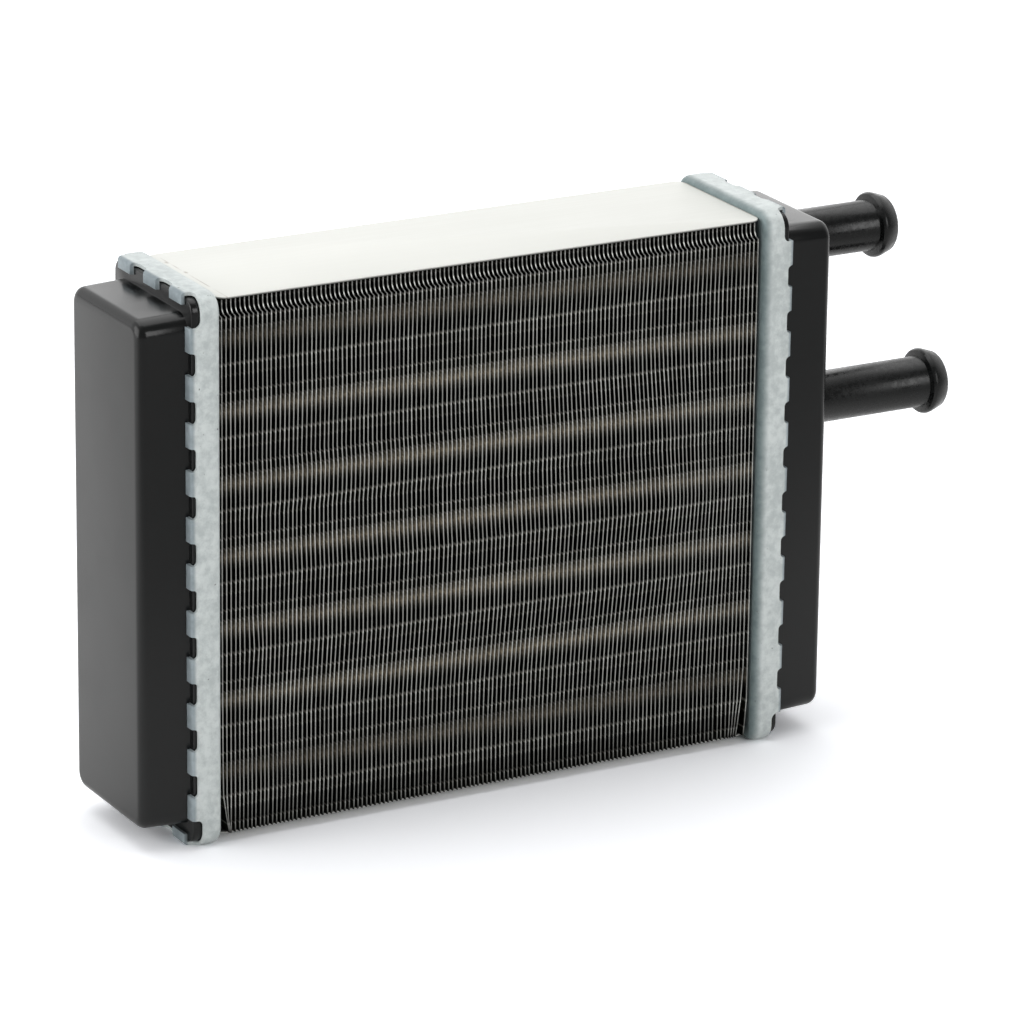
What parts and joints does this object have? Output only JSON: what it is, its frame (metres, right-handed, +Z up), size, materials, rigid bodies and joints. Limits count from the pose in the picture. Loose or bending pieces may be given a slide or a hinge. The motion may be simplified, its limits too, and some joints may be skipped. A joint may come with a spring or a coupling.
{
  "type": "heater core",
  "caption": "Small car heater core: finned tube block between two crimped header plates with plastic end tanks, one tank carrying two beaded hose stubs.",
  "frame": {"origin": "middle of the underside of the core's lower side plate", "axes": "+X along the tubes towards the hose stubs, +Y from the front face to the back, +Z up"},
  "size_m": [0.2638, 0.051, 0.161],
  "materials": {
    "tank_plastic": "satin black glass-filled nylon",
    "header_sheet": "dull pressed sheet",
    "gasket_rubber": "matte",
    "side_sheet": "bright rolled sheet",
    "fin_sheet": "dull thin sheet",
    "tube_wall": "dull drawn tube"
  },
  "bodies": {
    "root": {"plain_tank": "tank_plastic", "piped_tank": "tank_plastic", "plain_end_header_plate": "header_sheet", "piped_end_header_plate": "header_sheet", "plain_end_gasket": "gasket_rubber", "piped_end_gasket": "gasket_rubber", "upper_side_plate": "side_sheet", "lower_side_plate": "side_sheet", "fin_pack": "fin_sheet", "tube_front_1": "tube_wall", "tube_back_1": "tube_wall", "tube_front_2": "tube_wall", "tube_back_2": "tube_wall", "tube_front_3": "tube_wall", "tube_back_3": "tube_wall", "tube_front_4": "tube_wall", "tube_back_4": "tube_wall", "tube_front_5": "tube_wall", "tube_back_5": "tube_wall", "tube_front_6": "tube_wall", "tube_back_6": "tube_wall", "tube_front_7": "tube_wall", "tube_back_7": "tube_wall"}
  },
  "joints": []
}
